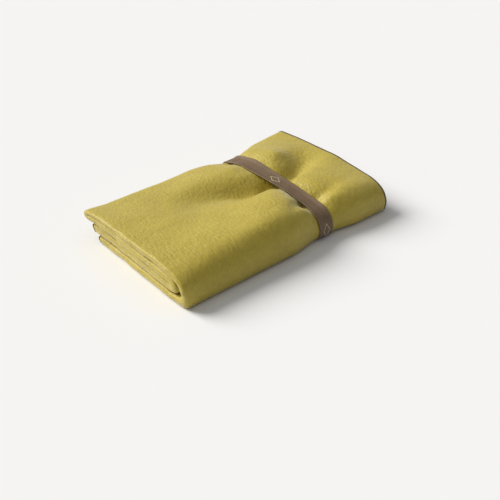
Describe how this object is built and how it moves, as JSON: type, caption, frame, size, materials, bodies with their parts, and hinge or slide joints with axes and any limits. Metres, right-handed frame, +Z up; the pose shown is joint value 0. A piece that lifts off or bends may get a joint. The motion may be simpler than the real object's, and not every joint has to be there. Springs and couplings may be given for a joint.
{
  "type": "folded camp blanket",
  "caption": "Brushed camp blanket with an overlocked edge, folded into a flat bundle and held by an elastic band that slides off over either end.",
  "frame": {"origin": "centre of the bundle's box, on the surface that it rests on", "axes": "+X along the bundle from its folded end to its hemmed end, +Y from the side where the whole bundle turns round to the side of the long hems, +Z up"},
  "size_m": [0.2901, 0.1843, 0.0424],
  "materials": {
    "cloth": "brushed olive-yellow microfibre with a short nap",
    "overlock": "dark brown overlock thread",
    "webbing": "woven brown elastic, matt",
    "tack_thread": "brown sewing thread",
    "mark_thread": "cream woven thread"
  },
  "bodies": {
    "blanket": {"blanket_cloth": "cloth", "overlock_outer_end": "overlock", "overlock_inner_end": "overlock", "overlock_outer_side": "overlock", "overlock_inner_side": "overlock"},
    "band": {"elastic_band": "webbing", "band_splice_tab": "webbing", "splice_bar_tack_1": "tack_thread", "splice_bar_tack_2": "tack_thread", "woven_mark_near": "mark_thread", "woven_mark_top": "mark_thread"}
  },
  "joints": [
    {"name": "band_slide", "type": "slide", "parent": "blanket", "child": "band", "axis": [1, 0, 0], "range_m": [-0.22, 0.115], "deforming": ["blanket_cloth", "overlock_outer_end", "overlock_inner_end", "overlock_outer_side", "overlock_inner_side"]}
  ]
}
